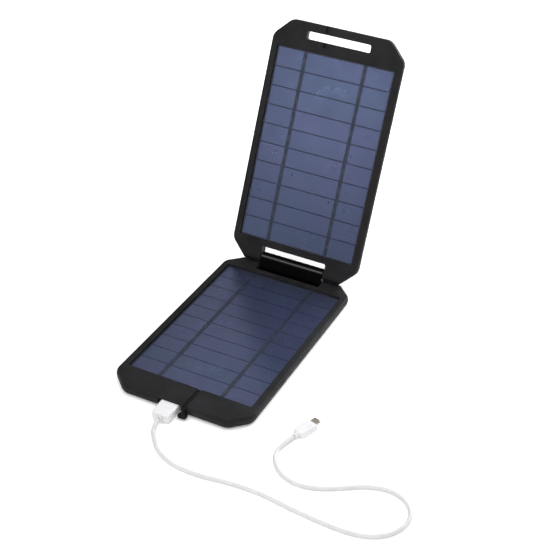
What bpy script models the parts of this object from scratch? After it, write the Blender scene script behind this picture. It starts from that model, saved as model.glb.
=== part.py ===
"""Folding solar phone charger: two hinged solar panels, a USB port and a charging cable.

Each half is modelled in its own panel space: the origin is on the half's hinge pin, +Y points out
past the hinge, the far end is towards -Y and the solar cells face +Z. The two halves are the same
moulding, and the upper one is turned over about the Y axis before it is swung open.
"""

import math

import bmesh
import bpy
from mathutils import Matrix, Vector

MM = 0.001

# Solar cells: strips cut from a standard wafer, in series along each half.
CELL_ROWS = 10
CELL_PITCH = 15.8 * MM
CELL_LENGTH = 100.0 * MM
CELL_GAP = 0.15 * MM
RIBBON_OFFSET = 26.0 * MM
RIBBON_WIDTH = 3.2 * MM

# Outline of one half, seen from above.
HALF_WIDTH = 57.3 * MM
HALF_THICKNESS = 4.7 * MM
PIN_TO_CELLS = 16.1 * MM
CELLS_TO_END = 24.0 * MM
CORNER_CUT = 14.5 * MM
CORNER_ROUND = 10.0 * MM
CELLS_FAR = -(PIN_TO_CELLS + CELL_ROWS * CELL_PITCH)
FAR_END = CELLS_FAR - CELLS_TO_END
HINGE_OVERRUN = 5.0 * MM

# Rounded sides: two quarter ellipses meet at the widest line.
WIDEST_HEIGHT = 1.5 * MM
UPPER_INSET = 1.6 * MM
LOWER_INSET = 4.8 * MM
UPPER_STEPS = 4
LOWER_STEPS = 5

# The frame moulding and the back cover share the half's outside.
JOINT_LINE = -1.05 * MM
JOINT_GAP = 0.3 * MM
HINGE_BLOCK = 7.0 * MM
FIT_GAP = 0.3 * MM

# Hinge: two pins joined by a link, so that the halves fold face to face.
PIN_SPACING = 9.8 * MM
KNUCKLE_RADIUS = 4.8 * MM
LINK_RADIUS = 4.65 * MM
LINK_OPENING = math.radians(20.6)
UPPER_OPENING = math.radians(90.0)
LINK_HALF_LENGTH = 27.9 * MM
NOTCH_HALF_LENGTH = 29.0 * MM
NOTCH_EDGE = PIN_TO_CELLS - 6.3 * MM
PIN_RADIUS = 1.2 * MM
PIN_BORE_RADIUS = 1.5 * MM
PIN_HALF_LENGTH = 40.0 * MM
PIN_BORE_HALF_LENGTH = 40.6 * MM
WASHER_RADIUS = 3.4 * MM
WASHER_THICKNESS = 0.5 * MM
HINGE_STEP_HEIGHT = 4.35 * MM
HINGE_STEP_END = -3.0 * MM

# Window for the solar laminate, and the laminate's layers.
WINDOW_MARGIN = 1.3 * MM
BOARD_MARGIN = 1.0 * MM
LEDGE_WIDTH = 4.0 * MM
LEDGE_HEIGHT = 0.9 * MM
BOARD_HEIGHTS = (1.2 * MM, 2.3 * MM)
CELL_HEIGHTS = (2.4 * MM, 2.6 * MM)
RIBBON_HEIGHTS = (2.7 * MM, 2.85 * MM)
SHEET_HEIGHTS = (2.95 * MM, 3.5 * MM)

# Strap slot through the far end of the upper half.
SLOT_HALF_LENGTH = 27.7 * MM
SLOT_BACK_FLARE = 1.5 * MM
SLOT_NEAR = CELLS_FAR - 10.3 * MM
SLOT_FAR = SLOT_NEAR - 6.5 * MM
SLOT_ROUND = 1.5 * MM

# Groove for the bung's rubber tether.
GROOVE_X = 8.9 * MM
OUTER_GROOVE_X = 10.6 * MM
GROOVE_HALF_WIDTH = 1.7 * MM
GROOVE_FLOOR = 3.25 * MM
OUTER_GROOVE_FLOOR = 2.2 * MM
GROOVE_STUB = 4.0 * MM

# Port recess, electronics bay and USB-A socket, at the far end of the lower half.
PORT_X = -3.2 * MM
RECESS_HALF_WIDTH = 9.7 * MM
RECESS_DEPTH = 4.9 * MM
RECESS_TOP = 3.65 * MM
RECESS_WALL = FAR_END + RECESS_DEPTH
BAY_HALF_WIDTH = 32.0 * MM
BAY_NEAR = CELLS_FAR - 2.7 * MM
BAY_FAR = RECESS_WALL + 1.2 * MM
BAY_TOP = 3.05 * MM
BAY_FLOOR = -3.3 * MM
SOCKET_HALF = (6.55 * MM, 2.85 * MM)
SOCKET_WALL = 0.3 * MM
SOCKET_LENGTH = 13.0 * MM

# Back cover.
COVER_POCKET_X = 46.0 * MM
COVER_POCKET_INSET = 4.0 * MM
SCREW_X = 40.0 * MM
SCREW_NEAR_Y = -11.5 * MM
SCREW_FAR_Y = FAR_END + 10.5 * MM
SCREW_HEAD_RADIUS = 2.1 * MM
SCREW_SHANK_RADIUS = 0.8 * MM
SCREW_HEAD_HEIGHTS = (-4.5 * MM, -3.3 * MM)
SCREW_TIP = 2.0 * MM

# USB cable.
GRIP_HALF = (7.2 * MM, 3.45 * MM)
GRIP_LENGTH = 18.7 * MM
PLUG_SHELL_HALF = (6.0 * MM, 2.25 * MM)
PLUG_SHELL_LENGTH = 11.4 * MM
CORD_RADIUS = 1.55 * MM
CORD_SIDES_RESOLUTION = 2
DEVICE_GRIP_HALF = (5.3 * MM, 2.4 * MM)
DEVICE_GRIP_LENGTH = 16.0 * MM
COLLAR_RADIUS = 2.3 * MM
COLLAR_LENGTH = 1.6 * MM
DEVICE_COLLAR_LENGTH = 3.5 * MM
DEVICE_PLACE = (93.6 * MM, -99.9 * MM, 2.45 * MM)
DEVICE_TURN = math.radians(-16.0)

# Where the lower pin stands: the footprint's centre is the origin, and the back cover rests on it.
LOWER_PIN = Vector((0.0, 63.85 * MM, HALF_THICKNESS))


# ---------------------------------------------------------------- tools

def clear_scene():
    for old in list(bpy.data.objects):
        bpy.data.objects.remove(old, do_unlink=True)


def make_material(name, colour, roughness, metallic=0.0):
    material = bpy.data.materials.new(name)
    material.use_nodes = True
    shader = material.node_tree.nodes["Principled BSDF"]
    shader.inputs["Base Color"].default_value = (*colour, 1.0)
    shader.inputs["Roughness"].default_value = roughness
    shader.inputs["Metallic"].default_value = metallic
    return material


def add_object(name, mesh, parent, material=None):
    item = bpy.data.objects.new(name, mesh)
    bpy.context.scene.collection.objects.link(item)
    item.parent = parent
    if material is not None:
        item.data.materials.clear()
        item.data.materials.append(material)
    return item


def add_axis(name, matrix, parent=None):
    """An empty on a joint's axis, which carries the pieces that turn about it."""
    axis = bpy.data.objects.new(name, None)
    bpy.context.scene.collection.objects.link(axis)
    axis.parent = parent
    axis.matrix_local = matrix
    return axis


def add_cutter(name, mesh, parent):
    cutter = add_object(name, mesh, parent)
    cutter.hide_render = True
    cutter.display_type = "WIRE"
    return cutter


def apply_boolean(target, cutter, operation):
    modifier = target.modifiers.new(cutter.name, "BOOLEAN")
    modifier.operation = operation
    modifier.object = cutter
    modifier.solver = "EXACT"


def subtract(target, cutter):
    apply_boolean(target, cutter, "DIFFERENCE")


def loft(name, rings, smooth_angle=math.radians(30.0)):
    """A closed solid through rings of equal length, with flat ends."""
    shape = bmesh.new()
    loops = [[shape.verts.new(point) for point in ring] for ring in rings]
    count = len(loops[0])
    for lower, upper in zip(loops, loops[1:]):
        for i in range(count):
            j = (i + 1) % count
            shape.faces.new((lower[i], lower[j], upper[j], upper[i]))
    shape.faces.new(reversed(loops[0]))
    shape.faces.new(loops[-1])
    bmesh.ops.recalc_face_normals(shape, faces=shape.faces)
    mesh = bpy.data.meshes.new(name)
    shape.to_mesh(mesh)
    shape.free()
    mesh.shade_smooth()
    mesh.set_sharp_from_angle(angle=smooth_angle)
    return mesh


def box(name, x_range, y_range, z_range):
    x0, x1 = x_range
    y0, y1 = y_range
    corners = ((x0, y0), (x1, y0), (x1, y1), (x0, y1))
    return loft(name, [[(x, y, z) for x, y in corners] for z in z_range])


def rounded_polygon(corners, radii, steps):
    """Corner points, run anticlockwise, each rounded by an arc of its own radius."""
    outline = []
    count = len(corners)
    for i, corner in enumerate(corners):
        corner = Vector(corner)
        to_last = (Vector(corners[i - 1]) - corner).normalized()
        to_next = (Vector(corners[(i + 1) % count]) - corner).normalized()
        half_angle = to_last.angle(to_next) / 2
        centre = corner + (to_last + to_next).normalized() * (radii[i] / math.sin(half_angle))
        start = Vector((-to_last.y, to_last.x)) * radii[i]
        sweep = math.pi - 2 * half_angle
        for step in range(steps + 1):
            turn = Matrix.Rotation(sweep * step / steps, 2)
            outline.append(tuple(centre + turn @ start))
    return outline


def rounded_rectangle(half_x, half_y, radius, steps=3, centre=(0.0, 0.0)):
    cx, cy = centre
    corners = [(cx - half_x, cy - half_y), (cx + half_x, cy - half_y),
               (cx + half_x, cy + half_y), (cx - half_x, cy + half_y)]
    return rounded_polygon(corners, [radius] * 4, steps)


def prism(name, outline, z_range):
    """An outline in X and Y, drawn up along Z."""
    return loft(name, [[(x, y, z) for x, y in outline] for z in z_range])


def prism_along_x(name, profile, x_range):
    """A side profile in Y and Z, drawn along X."""
    return loft(name, [[(x, y, z) for y, z in profile] for x in x_range])


def circle(radius, sides, centre=(0.0, 0.0)):
    return [(centre[0] + radius * math.cos(math.tau * i / sides),
             centre[1] + radius * math.sin(math.tau * i / sides)) for i in range(sides)]


def bevel_edges(item, width, segments=2):
    modifier = item.modifiers.new("edges", "BEVEL")
    modifier.width = width
    modifier.segments = segments
    modifier.limit_method = "ANGLE"
    modifier.angle_limit = math.radians(40.0)
    modifier.use_clamp_overlap = True


# ---------------------------------------------------------------- one half of the charger

def half_outline(inset):
    """The half's outline, moved in by inset. It overruns the hinge end, which is rounded later."""
    side = HALF_WIDTH - inset
    far = FAR_END + inset
    near = HALF_THICKNESS + HINGE_OVERRUN - inset
    shift = inset * math.tan(math.radians(22.5))
    far_cut = CORNER_CUT - inset + shift
    near_cut = CORNER_CUT + HINGE_OVERRUN - inset + shift
    corners = [(-side + far_cut, far), (side - far_cut, far), (side, far + far_cut),
               (side, near - near_cut), (side - near_cut, near), (-side + near_cut, near),
               (-side, near - near_cut), (-side, far + far_cut)]
    return rounded_polygon(corners, [CORNER_ROUND - inset] * 8, 4)


def side_rings():
    """Insets and heights down the rounded side, from the back face to the cell side."""
    rings = []
    for step in range(LOWER_STEPS + 1):
        turn = math.pi / 2 * step / LOWER_STEPS
        height = WIDEST_HEIGHT - (HALF_THICKNESS + WIDEST_HEIGHT) * math.cos(turn)
        rings.append((LOWER_INSET * (1 - math.sin(turn)), height))
    for step in range(1, UPPER_STEPS + 1):
        turn = math.pi / 2 * step / UPPER_STEPS
        height = WIDEST_HEIGHT + (HALF_THICKNESS - WIDEST_HEIGHT) * math.sin(turn)
        rings.append((UPPER_INSET * (1 - math.cos(turn)), height))
    return rings


def half_body(name):
    rings = [[(x, y, height) for x, y in half_outline(inset)] for inset, height in side_rings()]
    return loft(name, rings)


def hinge_end_profile():
    """Side profile that rounds the hinge end about the pin."""
    over = HALF_THICKNESS + 0.5 * MM
    far = FAR_END - 5 * MM
    profile = [(far, -over), (0.0, -over)]
    for step in range(17):
        turn = math.pi * (step / 16 - 0.5)
        profile.append((KNUCKLE_RADIUS * math.cos(turn), KNUCKLE_RADIUS * math.sin(turn)))
    profile.append((0.0, over))
    profile.append((far, over))
    return profile


def round_hinge_end(target, prefix, axis):
    mesh = prism_along_x(prefix + "_hinge_end_keep", hinge_end_profile(), (-80 * MM, 80 * MM))
    apply_boolean(target, add_cutter(mesh.name, mesh, axis), "INTERSECT")


def cut_box(target, name, axis, x_range, y_range, z_range):
    subtract(target, add_cutter(name, box(name, x_range, y_range, z_range), axis))


def cut_prism(target, name, axis, outline, z_range):
    subtract(target, add_cutter(name, prism(name, outline, z_range), axis))


def cut_notch(target, name, axis):
    """The opening for the hinge link, which leaves a strap slot beside the link."""
    reach = 12 * MM
    centre = (0.0, -NOTCH_EDGE + reach)
    outline = rounded_rectangle(NOTCH_HALF_LENGTH, reach, SLOT_ROUND, 3, centre)
    cut_prism(target, name, axis, outline, (-8 * MM, 8 * MM))


def cut_strap_slot(target, name, axis, half_length):
    half_width = (SLOT_NEAR - SLOT_FAR) / 2
    centre = (0.0, (SLOT_NEAR + SLOT_FAR) / 2)
    outline = rounded_rectangle(half_length, half_width, SLOT_ROUND, 3, centre)
    cut_prism(target, name, axis, outline, (-8 * MM, 8 * MM))


def cut_round_holes(target, name, axis, radius, z_range):
    """A hole at each of the half's four screws."""
    for i, (x, y) in enumerate(screw_places()):
        cut_prism(target, f"{name}_{i + 1}", axis, circle(radius, 16, (x, y)), z_range)


def screw_places():
    return [(x, y) for y in (SCREW_NEAR_Y, SCREW_FAR_Y) for x in (-SCREW_X, SCREW_X)]


def window_outline(margin):
    middle = (CELLS_FAR - PIN_TO_CELLS) / 2
    half_y = CELL_ROWS * CELL_PITCH / 2 + margin
    return rounded_rectangle(CELL_LENGTH / 2 + margin, half_y, 1.0 * MM, 2, (0.0, middle))


def cut_window(target, prefix, axis):
    cut_prism(target, prefix + "_pocket", axis, window_outline(WINDOW_MARGIN), (LEDGE_HEIGHT, 8 * MM))
    inner = window_outline(WINDOW_MARGIN - LEDGE_WIDTH)
    cut_prism(target, prefix + "_window", axis, inner, (-8 * MM, 2 * MM))


def cut_hinge_step(target, prefix, axis):
    cut_box(target, prefix + "_hinge_step", axis, (-80 * MM, 80 * MM), (-NOTCH_EDGE, HINGE_STEP_END),
            (HINGE_STEP_HEIGHT, 8 * MM))


def cut_pin_bore(target, prefix, axis):
    span = (-PIN_BORE_HALF_LENGTH, PIN_BORE_HALF_LENGTH)
    mesh = prism_along_x(prefix + "_pin_bore", circle(PIN_BORE_RADIUS, 24), span)
    subtract(target, add_cutter(mesh.name, mesh, axis))


def cut_groove(target, name, axis, x, y_range, floor):
    x_range = (x - GROOVE_HALF_WIDTH, x + GROOVE_HALF_WIDTH)
    cut_box(target, name, axis, x_range, y_range, (floor, 8 * MM))


def build_frame(prefix, axis, material):
    """The moulding that holds the cells, with the knuckles of the hinge."""
    frame = add_object(prefix + "_frame", half_body(prefix + "_frame"), axis, material)
    round_hinge_end(frame, prefix, axis)
    cut_box(frame, prefix + "_cover_space", axis, (-80 * MM, 80 * MM), (FAR_END - 5 * MM, -HINGE_BLOCK),
            (-8 * MM, JOINT_LINE + JOINT_GAP / 2))
    cut_notch(frame, prefix + "_frame_notch", axis)
    cut_window(frame, prefix, axis)
    cut_hinge_step(frame, prefix, axis)
    cut_pin_bore(frame, prefix, axis)
    cut_round_holes(frame, prefix + "_screw_socket", axis, SCREW_SHANK_RADIUS + FIT_GAP,
                    (-8 * MM, SCREW_TIP + FIT_GAP))
    return frame


def build_back_cover(prefix, axis, material):
    """The shallow tray that closes the back of a half."""
    name = prefix + "_back_cover"
    cover = add_object(name, half_body(name), axis, material)
    cut_box(cover, prefix + "_frame_space", axis, (-80 * MM, 80 * MM), (FAR_END - 5 * MM, 20 * MM),
            (JOINT_LINE - JOINT_GAP / 2, 8 * MM))
    cut_box(cover, prefix + "_hinge_space", axis, (-80 * MM, 80 * MM),
            (-HINGE_BLOCK - JOINT_GAP, 20 * MM), (-8 * MM, 8 * MM))
    cut_notch(cover, prefix + "_cover_notch", axis)
    near = -PIN_TO_CELLS - COVER_POCKET_INSET
    far = CELLS_FAR + COVER_POCKET_INSET
    cut_box(cover, prefix + "_cover_pocket", axis, (-COVER_POCKET_X, COVER_POCKET_X), (far, near),
            (BAY_FLOOR, 8 * MM))
    cut_round_holes(cover, prefix + "_counterbore", axis, SCREW_HEAD_RADIUS + FIT_GAP,
                    (-8 * MM, SCREW_HEAD_HEIGHTS[1] + FIT_GAP))
    cut_round_holes(cover, prefix + "_screw_hole", axis, SCREW_SHANK_RADIUS + FIT_GAP,
                    (-5 * MM, 8 * MM))
    return cover


def build_laminate(prefix, axis, looks):
    """Board, cell strips, busbar ribbons and clear cover sheet, from the back up."""
    board = prism(prefix + "_panel_board", window_outline(BOARD_MARGIN), BOARD_HEIGHTS)
    add_object(board.name, board, axis, looks["board"])
    half_length = CELL_LENGTH / 2
    for row in range(CELL_ROWS):
        near = -PIN_TO_CELLS - row * CELL_PITCH - CELL_GAP / 2
        far = near - CELL_PITCH + CELL_GAP
        name = f"{prefix}_cell_{row + 1}"
        strip = box(name, (-half_length, half_length), (far, near), CELL_HEIGHTS)
        add_object(name, strip, axis, looks["cell"])
    for side, x in (("left", -RIBBON_OFFSET), ("right", RIBBON_OFFSET)):
        name = f"{prefix}_busbar_{side}"
        x_range = (x - RIBBON_WIDTH / 2, x + RIBBON_WIDTH / 2)
        ribbon = box(name, x_range, (CELLS_FAR, -PIN_TO_CELLS), RIBBON_HEIGHTS)
        add_object(name, ribbon, axis, looks["ribbon"])
    sheet = prism(prefix + "_cover_sheet", window_outline(BOARD_MARGIN), SHEET_HEIGHTS)
    add_object(sheet.name, sheet, axis, looks["sheet"])


def screw_mesh():
    """A pan-head screw with a cross recess, pointing up from the back cover."""
    low, high = SCREW_HEAD_HEIGHTS
    profile = [(SCREW_HEAD_RADIUS * 0.8, low), (SCREW_HEAD_RADIUS, low + 0.3 * MM),
               (SCREW_HEAD_RADIUS, high), (SCREW_SHANK_RADIUS, high),
               (SCREW_SHANK_RADIUS, SCREW_TIP - 0.5 * MM), (SCREW_SHANK_RADIUS * 0.4, SCREW_TIP)]
    rings = [[(x, y, z) for x, y in circle(radius, 12)] for radius, z in profile]
    blank = add_object("screw_blank", loft("screw_blank", rings), None)
    arm = 1.3 * MM
    width = 0.3 * MM
    depth = (low - 1 * MM, low + 0.7 * MM)
    for name, half_x, half_y in (("slot_across", arm, width), ("slot_along", width, arm)):
        cutter = add_cutter(name, box(name, (-half_x, half_x), (-half_y, half_y), depth), None)
        subtract(blank, cutter)
    evaluated = blank.evaluated_get(bpy.context.evaluated_depsgraph_get())
    mesh = bpy.data.meshes.new_from_object(evaluated)
    mesh.name = "screw"
    for name in ("screw_blank", "slot_across", "slot_along"):
        bpy.data.objects.remove(bpy.data.objects[name], do_unlink=True)
    return mesh


def build_screws(prefix, axis, mesh):
    for i, (x, y) in enumerate(screw_places()):
        screw = add_object(f"{prefix}_screw_{i + 1}", mesh, axis)
        screw.location = (x, y, 0.0)


# ---------------------------------------------------------------- lower half's port end

def cut_port(frame, cover, axis):
    """The recess round the plug, open at the back, and the hole for the socket behind it."""
    x_range = (PORT_X - RECESS_HALF_WIDTH, PORT_X + RECESS_HALF_WIDTH)
    y_range = (FAR_END - 5 * MM, RECESS_WALL)
    cut_box(frame, "port_recess", axis, x_range, y_range, (-8 * MM, RECESS_TOP))
    cut_box(cover, "port_recess_cover", axis, x_range, y_range, (-8 * MM, 8 * MM))
    half_x = SOCKET_HALF[0] + FIT_GAP
    half_z = SOCKET_HALF[1] + FIT_GAP
    mouth_x = (PORT_X - half_x, PORT_X + half_x)
    mouth_y = (RECESS_WALL - 2 * MM, BAY_FAR + 1 * MM)
    for target, name in ((frame, "socket_hole_frame"), (cover, "socket_hole_cover")):
        cut_box(target, name, axis, mouth_x, mouth_y, (-half_z, half_z))


def cut_bay(frame, cover, axis):
    """The hollow for the charge controller, and the wire channel from it to the cells."""
    x_range = (-BAY_HALF_WIDTH, BAY_HALF_WIDTH)
    y_range = (BAY_FAR, BAY_NEAR)
    cut_box(frame, "bay_frame", axis, x_range, y_range, (-8 * MM, BAY_TOP))
    cut_box(cover, "bay_cover", axis, x_range, y_range, (BAY_FLOOR, 8 * MM))
    channel_y = (BAY_NEAR - 1 * MM, CELLS_FAR + 8 * MM)
    cut_box(frame, "wire_channel", axis, (18 * MM, 22 * MM), channel_y, (-8 * MM, 0.4 * MM))


def tube(name, outer, wall, y_range, x, axis, material):
    """A thin rectangular metal tube along Y, open at both ends."""
    half_x, half_z = outer
    mesh = box(name, (x - half_x, x + half_x), y_range, (-half_z, half_z))
    shell = add_object(name, mesh, axis, material)
    inner_x = (x - half_x + wall, x + half_x - wall)
    inner_y = (y_range[0] - 2 * MM, y_range[1] + 2 * MM)
    cut_box(shell, name + "_bore", axis, inner_x, inner_y, (-half_z + wall, half_z - wall))
    return shell


def build_socket(axis, looks):
    mouth = RECESS_WALL + 0.2 * MM
    back = mouth + SOCKET_LENGTH
    tube("usb_socket_shell", SOCKET_HALF, SOCKET_WALL, (mouth, back), PORT_X, axis, looks["steel"])
    # The tongue stands forward from a block at the back of the shell, in the upper half of the mouth.
    base_x = SOCKET_HALF[0] - SOCKET_WALL - FIT_GAP
    base_z = SOCKET_HALF[1] - SOCKET_WALL - FIT_GAP
    profile = [(back, -base_z), (back, base_z), (back - 1.4 * MM, base_z), (back - 1.4 * MM, 1.55 * MM),
               (mouth + 1.5 * MM, 1.55 * MM), (mouth + 1.5 * MM, 0.2 * MM), (back - 1.4 * MM, 0.2 * MM),
               (back - 1.4 * MM, -base_z)]
    span = (PORT_X - base_x + 0.9 * MM, PORT_X + base_x - 0.9 * MM)
    mesh = prism_along_x("usb_socket_tongue", profile, span)
    add_object(mesh.name, mesh, axis, looks["tongue"])


def build_controller(axis, looks):
    """The charge controller: a board cut out round the socket, with its two largest components."""
    name = "controller_board"
    half_x = BAY_HALF_WIDTH - 1.2 * MM
    near = BAY_NEAR - 0.7 * MM
    far = BAY_FAR + 0.7 * MM
    board = add_object(name, box(name, (-half_x, half_x), (far, near), (-0.9 * MM, -0.1 * MM)),
                       axis, looks["circuit"])
    cut_x = (PORT_X - SOCKET_HALF[0] - 0.4 * MM, PORT_X + SOCKET_HALF[0] + 0.4 * MM)
    cut_y = (far - 2 * MM, RECESS_WALL + 0.2 * MM + SOCKET_LENGTH + 0.4 * MM)
    cut_box(board, "socket_cutout", axis, cut_x, cut_y, (-5 * MM, 5 * MM))
    middle = (near + far) / 2
    outline = rounded_rectangle(3.5 * MM, 3.5 * MM, 0.9 * MM, 2, (-20 * MM, middle))
    inductor = prism("power_inductor", outline, (0.1 * MM, 2.6 * MM))
    add_object(inductor.name, inductor, axis, looks["ferrite"])
    can = prism("output_capacitor", circle(2.5 * MM, 20, (13 * MM, middle)), (0.1 * MM, 2.7 * MM))
    add_object(can.name, can, axis, looks["can"])


# ---------------------------------------------------------------- bung and tether

def build_tether(axis, material):
    half = GROOVE_HALF_WIDTH - FIT_GAP
    y_range = (FAR_END + 1.0 * MM, CELLS_FAR - WINDOW_MARGIN - FIT_GAP)
    z_range = (GROOVE_FLOOR + FIT_GAP, GROOVE_FLOOR + 1.0 * MM)
    strip = box("bung_tether", (GROOVE_X - half, GROOVE_X + half), y_range, z_range)
    add_object(strip.name, strip, axis, material)


def bung_ring(place, heading, half_width, half_depth):
    """A rounded ring across the bung's centre line, which runs in the Y-Z plane."""
    across = Vector((0.0, -heading.z, heading.y))
    radius = min(half_width, half_depth) * 0.6
    outline = rounded_rectangle(half_width, half_depth, radius, 2)
    return [tuple(place + Vector((x, 0.0, 0.0)) + across * depth) for x, depth in outline]


def build_bung(axis, material):
    """Rubber bung: a neck that bends down over the front edge, a stem and a flange at the foot."""
    rings = []
    bend_radius = 3.0 * MM
    for step in range(6):
        turn = math.radians(5.0 + 85.0 * step / 5)
        place = Vector((0.0, -bend_radius * math.sin(turn), -bend_radius * (1 - math.cos(turn))))
        heading = Vector((0.0, -math.cos(turn), -math.sin(turn)))
        rings.append(bung_ring(place, heading, 1.3 * MM, 0.45 * MM))
    down = Vector((0.0, 0.0, -1.0))
    sections = ((-3.5, 2.0, 1.2), (-4.0, 2.5, 1.8), (-4.5, 2.7, 2.0), (-4.8, 3.3, 2.6),
                (-5.3, 3.6, 2.9), (-6.2, 3.6, 2.9), (-6.7, 3.1, 2.4))
    for height, half_width, half_depth in sections:
        place = Vector((0.0, -bend_radius - 0.4 * MM, height * MM))
        rings.append(bung_ring(place, down, half_width * MM, half_depth * MM))
    mesh = loft("port_bung", rings)
    add_object(mesh.name, mesh, axis, material)


# ---------------------------------------------------------------- hinge

def build_link(axis, material):
    """The link: a solid bar of full thickness, rounded about both pins."""
    profile = []
    for centre, start in ((0.0, math.pi), (PIN_SPACING, 0.0)):
        for step in range(13):
            turn = start + math.pi * step / 12
            profile.append((LINK_RADIUS * math.cos(turn), centre + LINK_RADIUS * math.sin(turn)))
    span = (-LINK_HALF_LENGTH, LINK_HALF_LENGTH)
    link = add_object("hinge_link", prism_along_x("hinge_link", profile, span), axis, material)
    for name, height in (("link_lower_bore", 0.0), ("link_upper_bore", PIN_SPACING)):
        bore = prism_along_x(name, circle(PIN_BORE_RADIUS, 24, (0.0, height)), (-40 * MM, 40 * MM))
        subtract(link, add_cutter(name, bore, axis))
    bevel_edges(link, 0.5 * MM)


def build_pin(prefix, axis, material):
    end = 0.4 * MM
    stations = ((-PIN_HALF_LENGTH, PIN_RADIUS - end), (-PIN_HALF_LENGTH + end, PIN_RADIUS),
                (PIN_HALF_LENGTH - end, PIN_RADIUS), (PIN_HALF_LENGTH, PIN_RADIUS - end))
    rings = [[(x, y, z) for y, z in circle(radius, 20)] for x, radius in stations]
    mesh = loft(prefix + "_hinge_pin", rings)
    add_object(mesh.name, mesh, axis, material)


def build_washers(prefix, axis, material):
    inner_face = (LINK_HALF_LENGTH + NOTCH_HALF_LENGTH - WASHER_THICKNESS) / 2
    for side, sign in (("left", -1), ("right", 1)):
        name = f"{prefix}_washer_{side}"
        span = sorted((sign * inner_face, sign * (inner_face + WASHER_THICKNESS)))
        washer = add_object(name, prism_along_x(name, circle(WASHER_RADIUS, 24), span), axis, material)
        bore = prism_along_x(name + "_bore", circle(PIN_BORE_RADIUS, 24), (span[0] - MM, span[1] + MM))
        subtract(washer, add_cutter(name + "_bore", bore, axis))


# ---------------------------------------------------------------- USB cable

def overmould(name, half_size, length, collar_length, axis, material):
    """A moulded grip that runs back along -Y from its flat front, and ends in a short collar."""
    half_x, half_z = half_size
    soft = 0.45 * MM
    sections = ((0.0, half_x - soft, half_z - soft), (soft, half_x, half_z),
                (length - 2.2 * MM, half_x, half_z),
                (length - 0.9 * MM, half_x - 0.5 * MM, half_z - 0.35 * MM),
                (length, half_x - 1.5 * MM, half_z - 1.0 * MM))
    rings = []
    for back, x, z in sections:
        outline = rounded_rectangle(x, z, min(x, z) * 0.45, 4)
        rings.append([(u, -back, v) for u, v in outline])
    collar = ((length + 0.05 * MM, min(COLLAR_RADIUS, half_z - 1.05 * MM) + 0.02 * MM),
              (length + collar_length * 0.3, min(COLLAR_RADIUS, half_z - 0.4 * MM)),
              (length + collar_length, CORD_RADIUS + 0.25 * MM))
    for back, radius in collar:
        outline = rounded_rectangle(radius, radius, radius * 0.96, 4)
        rings.append([(u, -back, v) for u, v in outline])
    mesh = loft(name, rings)
    add_object(name, mesh, axis, material)


def build_plug(axis, looks):
    overmould("usb_plug_grip", GRIP_HALF, GRIP_LENGTH, COLLAR_LENGTH, axis, looks["white"])
    span = (FIT_GAP, FIT_GAP + PLUG_SHELL_LENGTH)
    tube("usb_plug_shell", PLUG_SHELL_HALF, 0.3 * MM, span, 0.0, axis, looks["steel"])
    half_x = PLUG_SHELL_HALF[0] - 0.6 * MM
    name = "usb_plug_insulator"
    insulator = box(name, (-half_x, half_x), (span[0], span[1] - 0.4 * MM), (-1.65 * MM, -0.15 * MM))
    add_object(name, insulator, axis, looks["tongue"])


def build_device_plug(axis, looks):
    overmould("device_plug_grip", DEVICE_GRIP_HALF, DEVICE_GRIP_LENGTH, DEVICE_COLLAR_LENGTH,
              axis, looks["white"])
    outline = rounded_rectangle(3.35 * MM, 3.3 * MM, 1.0 * MM, 3, (0.0, 3.6 * MM))
    tip = prism("device_plug_tip", outline, (-0.75 * MM, 0.75 * MM))
    add_object(tip.name, tip, axis, looks["steel"])


def cord_route():
    """Places that the cord runs through, from the USB plug's collar to the device plug's, in mm."""
    return [(-3.2, -150.7, 4.7), (-3.0, -153.6, 4.25), (-2.2, -157.6, 3.2), (-0.2, -162.6, 1.9),
            (8.7, -173.6, 1.65), (18.5, -180.5, 1.65), (32.3, -184.7, 1.65), (50.3, -184.7, 1.65),
            (70.0, -181.9, 1.65), (92.0, -181.2, 1.65), (115.9, -184.2, 1.65), (139.4, -186.3, 1.65),
            (158.8, -186.3, 1.65), (173.5, -182.1, 1.65), (184.1, -173.0, 1.65), (188.9, -160.0, 1.65),
            (186.7, -148.5, 1.65), (178.0, -139.9, 1.65), (165.3, -137.2, 1.65), (150.9, -141.8, 1.65),
            (136.7, -151.1, 1.65), (122.5, -158.8, 1.65), (108.3, -161.1, 1.65), (95.5, -156.4, 1.65),
            (86.9, -146.8, 1.65), (84.0, -136.0, 1.65), (86.0, -125.4, 2.1), (88.0, -119.3, 2.45)]


def smooth_route(points, spacing):
    """Points at even spacing on a Catmull-Rom curve through the given places."""
    padded = [2 * points[0] - points[1]] + points + [2 * points[-1] - points[-2]]
    fine = []
    for a, b, c, d in zip(padded, padded[1:], padded[2:], padded[3:]):
        for step in range(20):
            t = step / 20
            fine.append(0.5 * (2 * b + (c - a) * t + (2 * a - 5 * b + 4 * c - d) * t ** 2
                               + (3 * b - a - 3 * c + d) * t ** 3))
    fine.append(points[-1])
    lengths = [0.0]
    for a, b in zip(fine, fine[1:]):
        lengths.append(lengths[-1] + (b - a).length)
    count = round(lengths[-1] / spacing)
    even = []
    i = 0
    for k in range(count + 1):
        target = lengths[-1] * k / count
        while i < len(fine) - 2 and lengths[i + 1] < target:
            i += 1
        part = (target - lengths[i]) / (lengths[i + 1] - lengths[i])
        even.append(fine[i].lerp(fine[i + 1], part))
    return even


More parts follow.
